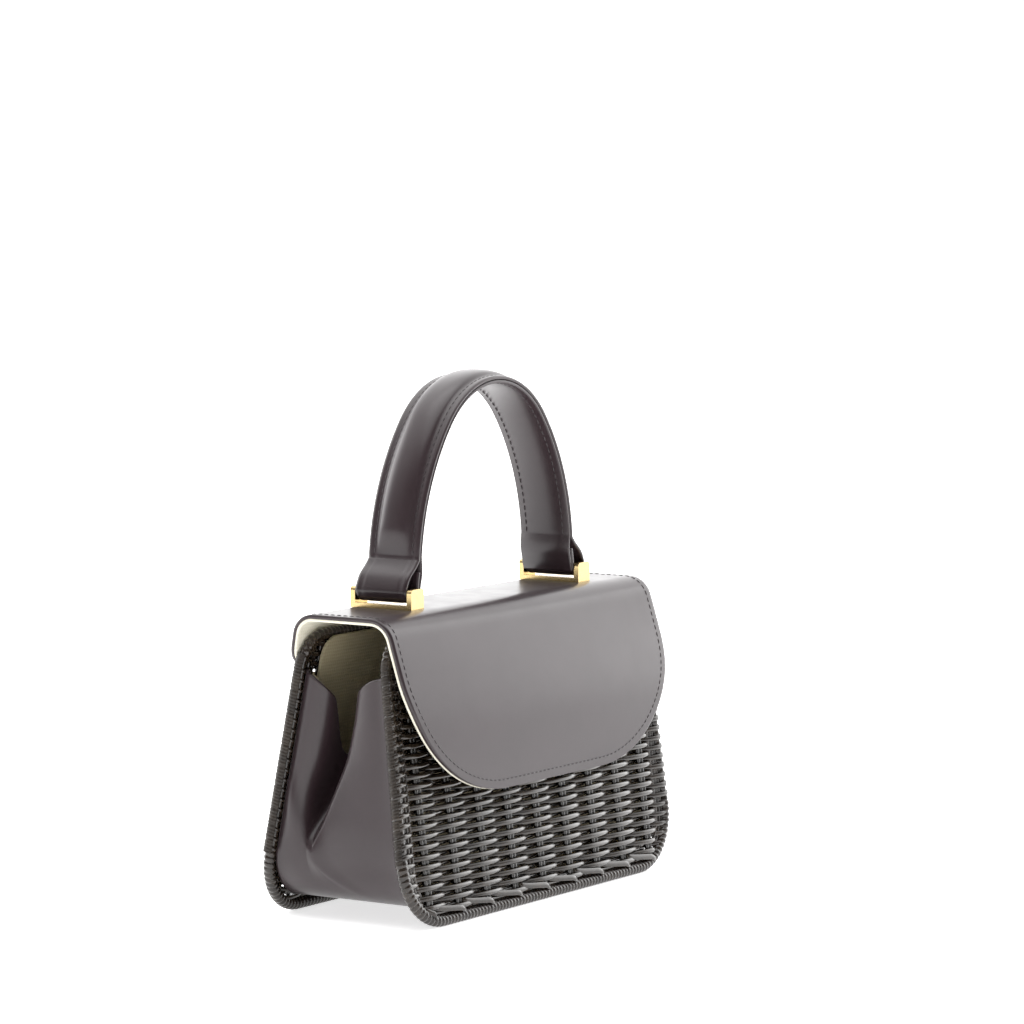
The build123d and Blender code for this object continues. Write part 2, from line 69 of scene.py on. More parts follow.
class Wire:
    """One shader socket, reckoned with in plain expressions; node() adds any other shader node."""

    def __init__(self, tree, socket=None):
        self.tree = tree
        self.socket = socket

    def node(self, kind, inputs=(), out=0, stops=(), **settings):
        made = self.tree.nodes.new("ShaderNode" + kind)
        for key, value in settings.items():
            setattr(made, key, value)
        if stops:
            ramp = made.color_ramp.elements
            while len(ramp) > 1:
                ramp.remove(ramp[-1])
            ramp[0].position = stops[0][0]
            for place, _ in stops[1:]:
                ramp.new(place)
            for mark, (_, colour) in zip(ramp, stops):
                mark.color = (*colour, 1) if isinstance(colour, tuple) else (colour, colour, colour, 1)
        for key, value in dict(inputs).items():
            if isinstance(value, Wire):
                self.tree.links.new(value.socket, made.inputs[key])
            else:
                made.inputs[key].default_value = value
        return Wire(self.tree, made.outputs[out])

    def sum(self, operation, first, second):
        return self.node("Math", {0: first, 1: second}, operation=operation)

    def __add__(self, other):
        return self.sum("ADD", self, other)

    def __sub__(self, other):
        return self.sum("SUBTRACT", self, other)

    def __mul__(self, other):
        return self.sum("MULTIPLY", self, other)

    def __rsub__(self, other):
        return self.sum("SUBTRACT", other, self)

    __radd__ = __add__
    __rmul__ = __mul__

    def between(self, low, high, to_low=0.0, to_high=1.0):
        values = {"Value": self, "From Min": low, "From Max": high, "To Min": to_low, "To Max": to_high}
        return self.node("MapRange", values, interpolation_type="SMOOTHSTEP")

    def blend(self, first, second):
        """first where this socket is 0, second where it is 1: two colours."""
        pair = {"Factor": self, 6: first, 7: second}
        pair = {key: (*v, 1) if isinstance(v, tuple) else v for key, v in pair.items()}
        return self.node("Mix", pair, out=2, data_type="RGBA")


def finish_of(name, base, rough, normal=None, **constants):
    """A material whose Principled shader takes varying colour, roughness and normal, and constants."""
    material = bpy.data.materials.new(name)
    material.use_nodes = True
    shader = material.node_tree.nodes["Principled BSDF"]
    start = Wire(material.node_tree)
    for key, value in constants.items():
        shader.inputs[key.replace("_", " ")].default_value = value
    for key, value in (("Base Color", base), ("Roughness", rough), ("Normal", normal)):
        value = value(start) if callable(value) else value
        if isinstance(value, Wire):
            material.node_tree.links.new(value.socket, shader.inputs[key])
        elif value is not None:
            shader.inputs[key].default_value = (*value, 1) if isinstance(value, tuple) else value
    return material


def place(start, scale=(1.0, 1.0, 1.0)):
    """Object coordinates in metres, times a scale for each axis."""
    coords = start.node("TexCoord", out=3)
    return coords.node("VectorMath", {0: coords, 1: scale}, operation="MULTIPLY")


def grain(at, size, detail=3.0, rough=0.55):
    return at.node("TexNoise", {"Vector": at, "Scale": 1 / size, "Detail": detail, "Roughness": rough})


def raised(height, depth, strength=1.0, normal=None):
    inputs = {"Height": height, "Distance": depth, "Strength": strength}
    if normal:
        inputs["Normal"] = normal
    return height.node("Bump", inputs)


# dark lacquered cane: brown-black in the shade, olive where the lacquer is thin, fine fibres along it
def cane_colour(start):
    at = place(start)
    cloud = grain(at, 9 * mm, 4)
    fine = grain(at, 0.7 * mm, 2)
    tone = cloud * 0.6 + fine * 0.4
    return tone.node(
        "ValToRGB",
        {"Fac": tone},
        stops=((0.30, (0.006, 0.004, 0.003)), (0.52, (0.017, 0.011, 0.007)), (0.72, (0.038, 0.027, 0.018))),
    )


def cane_rough(start):
    return grain(place(start), 2.5 * mm).between(0.3, 0.7, 0.15, 0.26)


def cane_relief(start):
    fibres = grain(place(start, (0.12, 1, 1)), 0.22 * mm, 2)
    return raised(fibres, 0.05 * mm, 0.3)


cane = finish_of(
    "dark_cane",
    cane_colour,
    cane_rough,
    cane_relief,
    Coat_Weight=0.4,
    Coat_Roughness=0.06,
    Specular_IOR_Level=0.32,
)


class Panel:
    """One leaning panel: turns (across, height up the panel, outwards) into a place on the bag."""

    def __init__(self, side):
        low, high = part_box(side + "_rim_winding")
        self.side = side
        self.out = -1 if side == "front" else 1
        foot_y = low.y + rim_outer if side == "front" else high.y - rim_outer
        head_y = high.y - rim_outer if side == "front" else low.y + rim_outer
        foot_z = rim_outer - rest_flat
        rise = Vector((0, head_y - foot_y, high.z - rim_outer - foot_z))
        self.length = rise.length
        self.foot = Vector((0, foot_y, foot_z))
        self.up = rise.normalized()
        self.normal = Vector((0, self.out * self.up.z, -self.out * self.up.y))

    def at(self, across, height, outwards=0.0):
        return self.foot + Vector((across, 0, 0)) + self.up * height + self.normal * outwards

    def half_width(self, height):
        """Half the width at a height between the middles of the side rods, rounded corners and all."""
        half = rim_half_low - rim_taper * height / self.length
        if height < low_corner:
            half -= low_corner - sqrt(max(0.0, low_corner**2 - (low_corner - height) ** 2))
        if height > self.length - high_corner:
            above = height - (self.length - high_corner)
            half -= high_corner - sqrt(max(0.0, high_corner**2 - above**2))
        return half


panels = [Panel("front"), Panel("back")]


def rim_line(panel, step):
    """Evenly spaced points (across, height) round the middle of a panel's rod, from its foot's middle."""
    rough_line = []
    low_half, high_half = rim_half_low, rim_half_low - rim_taper
    slope = atan2(panel.length, -rim_taper)
    for corner, start, end in (
        ((low_half, 0, low_corner), -pi / 2, slope - pi / 2),
        ((high_half, panel.length, high_corner), slope - pi / 2, pi / 2),
    ):
        x, h, radius = corner
        turn = end - start
        reach = radius * sin(turn / 2) / cos(turn / 2)
        centre = (x - reach, radius if h == 0 else h - radius)
        for i in range(25):
            angle = start + turn * i / 24
            rough_line.append((centre[0] + radius * cos(angle), centre[1] + radius * sin(angle)))
    rough_line = [(0.0, 0.0)] + rough_line + [(0.0, panel.length)]
    rough_line += [(-x, h) for x, h in reversed(rough_line[:-1])]
    lengths = [0.0]
    for a, b in zip(rough_line, rough_line[1:]):
        lengths.append(lengths[-1] + hypot(b[0] - a[0], b[1] - a[1]))
    count = ceil(lengths[-1] / step)
    line, piece = [], 0
    for i in range(count + 1):
        want = lengths[-1] * i / count
        while piece < len(lengths) - 2 and lengths[piece + 1] < want:
            piece += 1
        share = (want - lengths[piece]) / (lengths[piece + 1] - lengths[piece])
        a, b = rough_line[piece], rough_line[piece + 1]
        line.append((a[0] + (b[0] - a[0]) * share, a[1] + (b[1] - a[1]) * share))
    return line, lengths[-1] / count


def laid_sheet(bm, along, around, position, closed=True):
    """A grid of along by around squares, each corner put where position(i, j) says."""
    made = bmesh.ops.create_grid(bm, x_segments=along, y_segments=around, size=0.5)["verts"]
    for corner in made:
        i = round((corner.co.x + 0.5) * along)
        j = round((corner.co.y + 0.5) * around)
        corner.co = position(i, j)
    if closed:
        bmesh.ops.remove_doubles(bm, verts=made, dist=1e-6)
    return made


def piece_from(bm, name, material, body, stands_for=(), recalc=True):
    """Turns a bmesh into a smooth-shaded object, its faces outwards, riding on a body."""
    if recalc:
        bmesh.ops.recalc_face_normals(bm, faces=bm.faces)
    mesh = bpy.data.meshes.new(name)
    bm.to_mesh(mesh)
    bm.free()
    mesh.shade_smooth()
    made = bpy.data.objects.new(name, mesh)
    bpy.context.scene.collection.objects.link(made)
    for finish in material if isinstance(material, (list, tuple)) else [material]:
        mesh.materials.append(finish)
    if body:
        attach(made, body)
    if stands_for:
        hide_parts(*stands_for)
    return made


def wound_rod(bm, panel, step=0.36 * mm, around=14):
    """The rim rod under its windings: fine ribs along foot, corners and top, nearly bare up the sides."""
    line, step = rim_line(panel, step)
    count = len(line) - 1
    side_low, side_high = low_corner * 1.02, panel.length - high_corner * 0.5
    rings = []
    phase = 0.0
    for i in range(count):
        x, h = line[i]
        before, after = line[i - 1], line[(i + 1) % count]
        along = Vector((after[0] - before[0], after[1] - before[1])).normalized()
        bare = max(0.0, min(1.0, (h - side_low) / winding_fade))
        bare *= max(0.0, min(1.0, (side_high - h) / winding_fade))
        pitch = 2.3 * mm if h < panel.length / 2 else 2.6 * mm
        phase += step / pitch
        rings.append((x, h, along, bare, phase))
    turns = round(phase)
    rings = [(x, h, along, bare, p * turns / phase) for x, h, along, bare, p in rings]

    def position(i, j):
        x, h, along, bare, wound = rings[i % count]
        angle = tau * (j % around) / around
        rib = wound + angle / tau
        rib = 2 * (rib - int(rib)) - 1
        swell = sqrt(max(0.0, 1 - rib * rib))
        deep = rim_outer - winding_thick + winding_thick * swell
        radius = deep + (rod_radius + side_rib * swell - deep) * bare
        side = Vector((along.y, -along.x))
        made = panel.at(
            x + side.x * cos(angle) * radius, h + side.y * cos(angle) * radius, sin(angle) * radius
        )
        made.z = max(0.0, made.z)
        return made

    laid_sheet(bm, count, around, position)


for panel in panels:
    bm = bmesh.new()
    wound_rod(bm, panel)
    piece_from(bm, panel.side + "_rim", cane, "bag", [panel.side + "_rim_winding"])

# ---- the two cane panels: stakes and woven rows ------------------------------------------------
# Nine pairs of straight stakes stand in each rod frame. One thin cane runs to and fro, before one
# pair and behind the next, and turns round the side rods, so that each row lies opposite the last.
pair_spacing = 20.5 * mm
last_pair = 4
row_pitch = 2.0 * mm
first_row = 4.0 * mm
last_row_gap = 3.4 * mm
row_height = 1.16 * mm
row_thickness = 0.84 * mm
row_swing = 1.75 * mm
turn_radius = 1.85 * mm
tucked_radius = 1.1 * mm


def weaver_path(panel, dice):
    """The whole cane as (across, height, outwards) points, row after row, with its turns."""
    first, last = first_row, panel.length - last_row_gap
    rows = round((last - first) / row_pitch)
    steps = 8
    path = []
    for row in range(rows + 1):
        height = first + (last - first) * row / rows
        heading = 1 if row % 2 == 0 else -1
        face = -1 if row % 2 == 0 else 1
        half = panel.half_width(height)
        spare = half - last_pair * pair_spacing
        count = 2 * (last_pair + 1)
        lift = [dice.uniform(-0.16, 0.16) * mm for _ in range(count + 1)]
        press = [dice.uniform(0.88, 1.06) for _ in range(count + 1)]
        tucked = height < low_corner or height > panel.length - high_corner
        rod_reach = tucked_radius if tucked else turn_radius
        for i in range(count * steps + 1):
            phase = i / steps - (last_pair + 1)
            reach = abs(phase)
            if reach <= last_pair:
                x = reach * pair_spacing
                swing = row_swing
            else:
                x = last_pair * pair_spacing + (reach - last_pair) * spare
                swing = row_swing + (rod_reach - row_swing) * (reach - last_pair)
            x = x if phase >= 0 else -x
            whole = min(count - 1, i // steps)
            share = (1 - cos(pi * (i / steps - whole))) / 2
            rise = lift[whole] * (1 - share) + lift[whole + 1] * share
            firm = press[whole] * (1 - share) + press[whole + 1] * share
            wave = cos(pi * phase)
            wave = (abs(wave) ** 0.8) * (1 if wave > 0 else -1)
            if last_pair < reach:
                rise *= last_pair + 1 - reach
                firm = 1 + (firm - 1) * (last_pair + 1 - reach)
            path.append((heading * x, height + rise, face * swing * firm * wave))
        if row < rows:
            above = first + (last - first) * (row + 1) / rows
            middle = (panel.half_width(height) + panel.half_width(above)) / 2
            start_out = -face * rod_reach
            for i in range(1, 6):
                angle = pi * i / 6
                level = height + (above - height) * i / 6
                bulge = rod_reach * sin(angle)
                path.append((heading * (middle + bulge), level, start_out * cos(angle)))
    return path


def woven_cane(bm, panel, dice, around=8):
    path = weaver_path(panel, dice)
    count = len(path) - 1
    tone = [dice.uniform(0.94, 1.05) for _ in range(count // 40 + 2)]

    def position(i, j):
        x, h, out = path[i]
        before, after = path[max(0, i - 1)], path[min(count, i + 1)]
        dx, dout = after[0] - before[0], after[2] - before[2]
        size = hypot(dx, dout) or 1
        angle = tau * (j % around) / around
        girth = tone[i // 40] * (1 - i % 40 / 40) + tone[i // 40 + 1] * (i % 40 / 40)
        behind = max(0.0, -out / row_swing)
        high = sin(angle) * row_height * girth * (1 - 0.25 * behind)
        thick = cos(angle) * row_thickness * girth
        return panel.at(x - dout / size * thick, h + high, out + dx / size * thick)

    laid_sheet(bm, count, around, position)
    bmesh.ops.holes_fill(bm, edges=[edge for edge in bm.edges if edge.is_boundary])


for number, panel in enumerate(panels):
    bm = bmesh.new()
    woven_cane(bm, panel, Random(11 + number))
    piece_from(bm, panel.side + "_woven_rows", cane, "bag", [panel.side + "_weave"])


# thin upright canes stand close inside each side rod, and one more lies above the foot rod
upright_insets = (2.7 * mm, 4.7 * mm, 6.9 * mm)


def edge_canes(bm, panel):
    for hand in (-1, 1):
        for inside in upright_insets:
            low, high = 3 * mm + inside, panel.length - 2 * mm - inside * 0.5

            def position(i, j):
                h = low + (high - low) * i / 40
                angle = tau * (j % 8) / 8
                middle = hand * (panel.half_width(h) - inside)
                return panel.at(middle + cos(angle) * 1.0 * mm, h, sin(angle) * 0.75 * mm)

            laid_sheet(bm, 40, 8, position)
    foot_half = panel.half_width(3.4 * mm) + 1 * mm

    def foot_position(i, j):
        angle = tau * (j % 8) / 8
        across = foot_half * (2 * i / 60 - 1)
        return panel.at(across, 3.35 * mm + sin(angle) * 1.1 * mm, cos(angle) * 0.8 * mm)

    laid_sheet(bm, 60, 8, foot_position)
    bmesh.ops.holes_fill(bm, edges=[edge for edge in bm.edges if edge.is_boundary])


# the stakes and the rods are whole, smooth, lacquered cane, coloured a little darker than the rows: painted
# shade for the dark gaps between rows, where the stakes show
def stake_colour_painted_gap_shade(start):
    return grain(place(start), 5 * mm).blend((0.008, 0.006, 0.005), (0.022, 0.017, 0.013))


stake_cane = finish_of(
    "stake_cane", stake_colour_painted_gap_shade, cane_rough, cane_relief, Coat_Weight=0.5, Coat_Roughness=0.08
)
for panel in panels:
    bm = bmesh.new()
    edge_canes(bm, panel)
    piece_from(bm, panel.side + "_edge_canes", cane, "bag", ())
    for part in ("_stakes", "_rim_rod"):
        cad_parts[panel.side + part].data.materials.clear()
        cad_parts[panel.side + part].data.materials.append(stake_cane)


# ---- the two cane panels: foot border and side strips ------------------------------------------
# The stakes' lower ends are turned along the foot rod, each tucked under the next and cut square, so
# that they step along the foot. A flat split cane covers the turns on the left side rod.
border_height = 1.25 * mm
border_thickness = 0.62 * mm
# the square cut ends are paler: bare cut fibre, with a painted highlight where the ends catch the light
cut_end_pale_and_highlit = finish_of(
    "cut_cane_end",
    lambda start: grain(place(start), 0.4 * mm).blend((0.05, 0.04, 0.03), (0.12, 0.10, 0.075)),
    0.6,
)
flat_cane = finish_of(
    "flat_cane_strip",
    cane_colour,
    lambda start: grain(place(start), 1.1 * mm).between(0.3, 0.7, 0.42, 0.62),
    cane_relief,
    Specular_IOR_Level=0.35,
)


def squared(value):
    """Pushes a round section's sine or cosine out towards a flat-sided one."""
    return (abs(value) ** 0.7) * (1 if value > 0 else -1)


def foot_border(bm, panel, count=14, around=10):
    reach = panel.half_width(4 * mm) - 1.0 * mm
    for pair in range(-last_pair - 1, last_pair + 1):
        left = pair * pair_spacing + 1.6 * mm
        long = pair_spacing - 0.9 * mm
        left, right = max(left, -reach), min(left + long, reach)
        long = right - left
        if long < 3 * mm:
            continue

        def position(i, j):
            share = i / count
            angle = tau * (j % around) / around
            level = (5.7 - 2.5 * share**0.8) * mm
            drop = 0.9 * mm * max(0.0, share - 0.86) / 0.14
            out = (1.0 + 1.55 * share**0.6) * mm - drop * 0.3
            return panel.at(
                left + long * share,
                level - drop + squared(sin(angle)) * border_height,
                out + squared(cos(angle)) * border_thickness,
            )

        laid_sheet(bm, count, around, position)
    ends = bmesh.ops.holes_fill(bm, edges=[edge for edge in bm.edges if edge.is_boundary])["faces"]
    # the cut end faces take the paler finish, partly bare fibre and partly painted highlight
    for face in ends:
        face.material_index = 1
        face.smooth = False


def side_strip(bm, panel, dice, around=6):
    low, high = low_corner + 1 * mm, panel.length - high_corner * 0.55
    count = 420
    joints, level = [], low
    while level < high:
        level += dice.uniform(5, 10) * mm
        joints.append(level)

    def position(i, j):
        h = low + (high - low) * i / count
        nearest = min(abs(h - joint) for joint in joints)
        groove = 0.28 * mm * max(0.0, 1 - nearest / (0.6 * mm))
        angle = radians(178 + 84 * (j / around - 0.5))
        radius = 2.62 * mm - groove + 0.10 * mm * sin(tau * h / (1.3 * mm) + angle * 2)
        half = panel.half_width(h)
        return panel.at(-half + cos(angle) * radius, h, sin(angle) * radius)

    made = laid_sheet(bm, count, around, position, closed=False)
    bmesh.ops.recalc_face_normals(bm, faces=bm.faces)
    bmesh.ops.solidify(bm, geom=bm.faces[:] + bm.edges[:] + made, thickness=0.45 * mm)


for number, panel in enumerate(panels):
    bm = bmesh.new()
    foot_border(bm, panel)
    piece_from(bm, panel.side + "_foot_border", [cane, cut_end_pale_and_highlit], "bag", ())
    bm = bmesh.new()
    side_strip(bm, panel, Random(31 + number))
    piece_from(bm, panel.side + "_side_strip", flat_cane, "bag", ())


# ---- inside boards -----------------------------------------------------------------------------
# A cloth-covered card is glued inside each panel, and another stiffens the bag's foot. The cloth is a
# plain khaki weave.
def red_of(wave):
    return wave.node("SeparateColor", {0: wave})


def cloth_colour(light, dark):
    def colour(start):
        at = place(start)
        yarns = {"Vector": at, "Scale": 1 / (4.2 * mm), "Distortion": 1.2}
        warp = at.node("TexWave", yarns, bands_direction="X")
        weft = at.node("TexWave", yarns, bands_direction="Z")
        patch = grain(at, 14 * mm)
        tone = red_of(warp) * 0.25 + red_of(weft) * 0.25 + patch * 0.5
        return tone.blend(dark, light)

    return colour


def cloth_relief(start):
    at = place(start)
    yarns = {"Vector": at, "Scale": 1 / (4.2 * mm)}
    warp = red_of(at.node("TexWave", yarns, bands_direction="X"))
    weft = red_of(at.node("TexWave", yarns, bands_direction="Z"))
    return raised(warp + weft, 0.08 * mm, 0.7)


khaki = finish_of(
    "khaki_lining_cloth", cloth_colour((0.36, 0.31, 0.20), (0.22, 0.19, 0.12)), 0.85, cloth_relief
)
for node in ("front_lining_board", "back_lining_board", "base_board"):
    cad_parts[node].data.materials.clear()
    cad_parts[node].data.materials.append(khaki)


# ---- gusset -------------------------------------------------------------------------------------
# One strip of calf runs down one side, under the bag and up the other, with the lining glued to it.
# Each side folds inwards from a third of its height into a deep soft pleat between the panels.
gusset_low = 6.5 * mm
gusset_top = 100 * mm
gusset_set_in = 2.0 * mm
gusset_corner = 22 * mm
gusset_leather = 1.6 * mm
gusset_lining = 0.6 * mm


def leather_colour(light, dark):
    def colour(start):
        at = place(start)
        cloud = grain(at, 30 * mm, 3)
        fine = grain(at, 2.2 * mm, 1)
        return (cloud * 0.85 + fine * 0.15).between(0.3, 0.7).blend(dark, light)

    return colour


def leather_rough(start):
    at = place(start)
    return (grain(at, 12 * mm, 1) * 0.7 + grain(at, 3 * mm, 1) * 0.3).between(0.3, 0.7, 0.275, 0.315)


def leather_relief(start):
    at = place(start)
    pores = at.node("TexVoronoi", {"Vector": at, "Scale": 1 / (0.55 * mm), "Randomness": 1.0})
    soft = grain(at, 3.5 * mm, 3)
    return raised(pores * 0.2 + soft * 0.8, 0.05 * mm, 0.16)


calf = finish_of(
    "plum_brown_calf",
    leather_colour((0.027, 0.0168, 0.0195), (0.0235, 0.0145, 0.0168)),
    leather_rough,
    leather_relief,
    Specular_IOR_Level=0.42,
    Sheen_Weight=0.05,
    Sheen_Roughness=0.4,
)


def inner_y(panel, z, off):
    """Y of a panel's inner face at a height above the ground, off inwards from its middle."""
    up = (z - panel.foot.z) / panel.up.z
    return (panel.foot + panel.up * up).y - panel.out * off / panel.up.z


def strip_line(count):
    """The gusset's line from its left top, down, under the bag and up: (x, z, inward normal) places."""
    slope = rim_taper / (panels[0].length * panels[0].up.z)
    lean = atan2(slope, 1)
    turn = pi / 2 + lean
    reach = gusset_corner * sin(turn / 2) / cos(turn / 2)
    edge_x = rim_half_low - gusset_set_in - slope * (gusset_low - rim_outer)
    corner_x = edge_x - reach
    side_z = gusset_low + reach * cos(lean)
    side_x = edge_x - slope * (side_z - gusset_low)
    side_long = hypot(gusset_top - side_z, slope * (gusset_top - side_z))
    arc_long = gusset_corner * turn
    total = 2 * (side_long + arc_long + corner_x)
    line = []
    for i in range(count + 1):
        s = total * i / count
        mirrored = s > total / 2
        s = total - s if mirrored else s
        if s < side_long:
            share = s / side_long
            x = side_x - slope * (gusset_top - side_z) * (1 - share)
            z = gusset_top + (side_z - gusset_top) * share
            nx, nz = -cos(lean), -sin(lean)
        elif s < side_long + arc_long:
            angle = (s - side_long) / gusset_corner
            nx, nz = -cos(angle - lean), sin(angle - lean)
            x, z = corner_x - nx * gusset_corner, gusset_low + gusset_corner - nz * gusset_corner
        else:
            x, z = total / 2 - s, gusset_low
            nx, nz = 0.0, 1.0
        hand = 1 if mirrored else -1
        line.append((hand * x, z, Vector((hand * nx, 0, nz))))
    return line


# heights, and the Y of the pleat's front lip, deepest crease and back lip there, with its depth
pleat_marks = (
    (0, 11.5, 13.0, 14.5, 0.0),
    (31, 11.5, 13.0, 14.5, 0.0),
    (36, 11.0, 12.8, 14.6, 4.0),
    (45, 7.4, 10.6, 14.6, 11.5),
    (54, 3.4, 8.0, 13.4, 17.0),
    (65, -1.2, 3.8, 9.4, 21.0),
    (80, -4.2, 1.0, 6.2, 23.0),
    (95, -5.8, -0.6, 4.0, 23.0),
    (110, -6.4, -1.2, 3.4, 23.0),
)
lip_round = 3.2 * mm
fall_start = 34 * mm
lip_fall = 10.5 * mm
crease_fall = 24 * mm
front_share, crease_share, back_share = 0.44, 0.58, 0.72


def pleat_at(z):
    """The pleat's front lip, crease, back lip and depth at a height."""
    for low, high in zip(pleat_marks, pleat_marks[1:]):
        if z <= high[0] * mm:
            break
    share = min(1.0, max(0.0, (z / mm - low[0]) / (high[0] - low[0])))
    share = share * share * (3 - 2 * share) if low[0] in (31, 0) else share
    return [(a + (b - a) * share) * mm for a, b in zip(low[1:], high[1:])]


def folded_side(t, z, front, back):
    """Y, and how far in from flat the side lies, for a share t of the way from front to back panel."""
    front_lip, crease, back_lip, deep = pleat_at(z)
    curl = min(lip_round, deep * 0.5)
    risen = min(1.0, max(0.0, (z - 12 * mm) / (26 * mm)))
    if t < front_share:
        u = 1 - (1 - t / front_share) ** 1.5
        y = front + (front_lip - front) * u
        short = min(1.0, abs(front_lip - y) / lip_round)
        sunk = curl * (1 - sqrt(max(0.0, 1 - (1 - short) ** 2))) + 0.07 * deep * u**3
        sunk -= 1.5 * mm * sin(pi * u) * risen
    elif t > back_share:
        u = 1 - (1 - (1 - t) / (1 - back_share)) ** 1.5
        y = back + (back_lip - back) * u
        short = min(1.0, abs(back_lip - y) / lip_round)
        sunk = curl * (1 - sqrt(max(0.0, 1 - (1 - short) ** 2))) + 0.07 * deep * u**3
        sunk -= 2.8 * mm * sin(pi * u) ** 0.9 * risen
    else:
        if t < crease_share:
            lip, u = front_lip, (t - front_share) / (crease_share - front_share)
        else:
            lip, u = back_lip, (back_share - t) / (back_share - crease_share)
        y = lip + (crease - lip) * (0.25 * u + 0.75 * u * u)
        base = curl + 0.07 * deep
        sunk = base + (deep - base) * sin(pi / 2 * u)
    edge = abs(2 * t - 1)
    return y, sunk - 1.9 * mm * edge**8


def ridge(z, y):
    """The soft fold that runs from the back rod down towards the front, under the pleat."""
    middle = 9 * mm + (z - 18 * mm) / (32 * mm) * 11 * mm
    share = (z - 8 * mm) / (50 * mm)
    if not 0 < share < 1:
        return 0.0
    return 1.7 * mm * sin(pi * share) * max(0.0, 1 - abs(y - middle) / (8.5 * mm)) ** 1.6


def gusset_sheet(bm, depth, off, along=190, around=100):
    """The strip's outer face, laid depth in from the leather's own face."""
    line = strip_line(along)

    def position(i, j):
        x, z, inner = line[i]
        t = j / around
        upper = min(1.0, max(0.0, (z - fall_start) / (gusset_top - fall_start)))
        if t < front_share or t > back_share:
            u = t / front_share if t < front_share else (1 - t) / (1 - back_share)
            fall = lip_fall * min(1.0, u) ** 1.6
        else:
            u = min(t - front_share, back_share - t) / (crease_share - front_share)
            fall = lip_fall + crease_fall * sin(pi / 2 * min(1.0, u * 2.4)) ** 0.8
        level = z - fall * upper**1.45 - (0.8 * mm * upper**6 if depth else 0.0)
        front, back = inner_y(panels[0], level, off), inner_y(panels[1], level, off)
        y, sunk = folded_side(t, level, front, back)
        sunk -= ridge(level, y)
        upright = min(1.0, 1.3 * (1 - inner.z))
        y = (front + (back - front) * t) * (1 - upright) + y * upright
        return Vector((x, y, level)) + inner * sunk * upright

    made = laid_sheet(bm, along, around, position, closed=False)
    bmesh.ops.recalc_face_normals(bm, faces=bm.faces)
    if min(bm.faces, key=lambda face: face.calc_center_median().z).normal.z > 0:
        bmesh.ops.reverse_faces(bm, faces=bm.faces)
    # the free upper edge relaxes with the sheet, and the edges at the panels stay where they are
    inside = []
    for corner in made:
        gaps = [abs(corner.co.y - inner_y(panel, corner.co.z, off)) for panel in panels]
        if not corner.is_boundary or (corner.co.z > 60 * mm and min(gaps) > 0.4 * mm):
            inside.append(corner)
    for _ in range(7):
        bmesh.ops.smooth_vert(
            bm, verts=inside, factor=0.5, use_axis_x=True, use_axis_y=True, use_axis_z=True
        )
    bm.normal_update()
    if depth:
        shifts = [(corner, corner.normal * depth) for corner in bm.verts]
        for corner, shift in shifts:
            corner.co -= shift


def sheet_object(name, bm, thickness, material, body, stands_for):
    """A single layer given its thickness, under the face that was shaped."""
    made = piece_from(bm, name, material, None, (), recalc=False)
    wall = made.modifiers.new("thickness", "SOLIDIFY")
    wall.thickness = thickness
    wall.offset = -1.0
    wall.use_even_offset = False
    bpy.context.view_layer.update()
    solid = bpy.data.meshes.new_from_object(made.evaluated_get(bpy.context.evaluated_depsgraph_get()))
    made.modifiers.clear()
    made.data = solid
    if body:
        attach(made, body)
    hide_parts(*stands_for)
    return made


for name, depth, thickness, off, material, node, slot in (
    ("gusset_leather", 0.0, gusset_leather, 2.5 * mm, calf, "gusset", "brown_leather"),
    (
        "gusset_cloth", gusset_leather + 0.1 * mm, gusset_lining, 3.9 * mm, khaki,
        "gusset_lining", "bag_lining",
    ),
):
    bm = bmesh.new()
    gusset_sheet(bm, depth, off)
    made = sheet_object(name, bm, thickness, material, "bag", [node])

# ---- flap ---------------------------------------------------------------------------------------
# One piece of calf is sewn to the back panel, lies over the rims and hangs down the front as a wide
# tongue. Cream cotton lines it to the edge, and a dark thread runs round it close to that edge.
flap_half = 96 * mm
flap_straight_end = 100 * mm
flap_tip = 50.3 * mm
flap_tip_half = 35 * mm
flap_back_corner = 8 * mm
flap_leather = 1.6 * mm
flap_lining = 1.0 * mm
flap_corners = ((22.5, 101), (19.24, 121.8), (-24.21, 121.8), (-36.08, 84), (-40.21, 50.3))
flap_bends = (9, 11, 90)


def bent_line(corners, bends, turn_steps, run_step):
    """An open line in the YZ plane with rounded corners, as places and outward directions."""
    points = [Vector((y, z)) * mm for y, z in corners]
    line = []

    def run(a, b):
        steps = max(1, round((b - a).length / run_step))
        along = (b - a).normalized()
        for i in range(steps):
            line.append((a + (b - a) * i / steps, Vector((along.y, -along.x))))

    last = points[0]
    for before, corner, after, bend in zip(points, points[1:], points[2:], bends):
        arrive, leave = (corner - before).normalized(), (after - corner).normalized()
        turn = arrive.angle(leave)
        reach = bend * mm * sin(turn / 2) / cos(turn / 2)
        start = corner - arrive * reach
        run(last, start)
        side = 1 if arrive.x * leave.y - arrive.y * leave.x > 0 else -1
        inward = Vector((-arrive.y, arrive.x)) * side
        centre = start + inward * bend * mm
        steps = max(4, round(turn_steps * turn / (pi / 2)))
        for i in range(steps):
            angle = turn * i / steps * side
            arm = start - centre
            arm = Vector((arm.x * cos(angle) - arm.y * sin(angle), arm.x * sin(angle) + arm.y * cos(angle)))
            line.append((centre + arm, arm.normalized() * side))
        last = corner + leave * reach
    run(last, points[-1])
    along = (points[-1] - last).normalized()
    line.append((points[-1], Vector((along.y, -along.x))))
    return line


def flap_width(place, front):
    """Half the flap's width where its line has reached a place."""
    if front and place.y < flap_straight_end:
        drop = min(1.0, (flap_straight_end - place.y) / (flap_straight_end - flap_tip))
        return flap_tip_half + (flap_half - flap_tip_half) * sqrt(max(0.0, 1 - drop * drop))
    if not front:
        rise = place.y - flap_corners[0][1] * mm
        if rise < flap_back_corner:
            round_off = sqrt(max(0.0, flap_back_corner**2 - (flap_back_corner - rise) ** 2))
            return flap_half - flap_back_corner + round_off
    return flap_half


